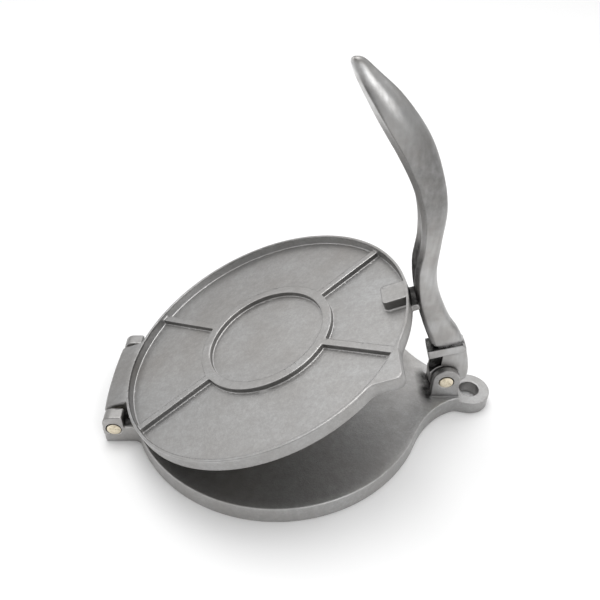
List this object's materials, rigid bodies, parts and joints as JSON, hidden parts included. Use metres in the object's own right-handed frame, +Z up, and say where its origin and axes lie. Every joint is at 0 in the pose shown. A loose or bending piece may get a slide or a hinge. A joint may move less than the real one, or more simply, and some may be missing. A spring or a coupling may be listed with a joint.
{
  "type": "patty press",
  "caption": "Round cast-metal food press: a hinged upper plate over a flat base plate, with a lever at the other end that folds over and squeezes the plates together.",
  "frame": {"origin": "middle of the press's overall length and width, on the surface that it stands on", "axes": "+X from the lid hinge towards the handle, +Y across, away from the lid's corner tab, +Z up"},
  "size_m": [0.2658, 0.2, 0.2422],
  "materials": {
    "cast_aluminium": "satin, fine cast grain with brighter worn edges",
    "polished_aluminium": "brushed and hand-polished casting",
    "pin_steel": "dull plated steel with a warm tint"
  },
  "bodies": {
    "base": {"base": "cast_aluminium"},
    "lid": {"lid": "cast_aluminium", "hinge_pin_front": "pin_steel", "hinge_pin_back": "pin_steel"},
    "handle": {"handle": "polished_aluminium", "handle_pin": "pin_steel"}
  },
  "joints": [
    {"name": "lid_hinge", "type": "hinge", "parent": "base", "child": "lid", "pos_m": [-0.1227, 0, 0.0115], "axis": [0, -1, 0], "range_deg": [-22.4, 87.6]},
    {"name": "handle_pivot", "type": "hinge", "parent": "base", "child": "handle", "pos_m": [0.0988, 0, 0.0264], "axis": [0, 1, 0], "range_deg": [0, 60]}
  ]
}
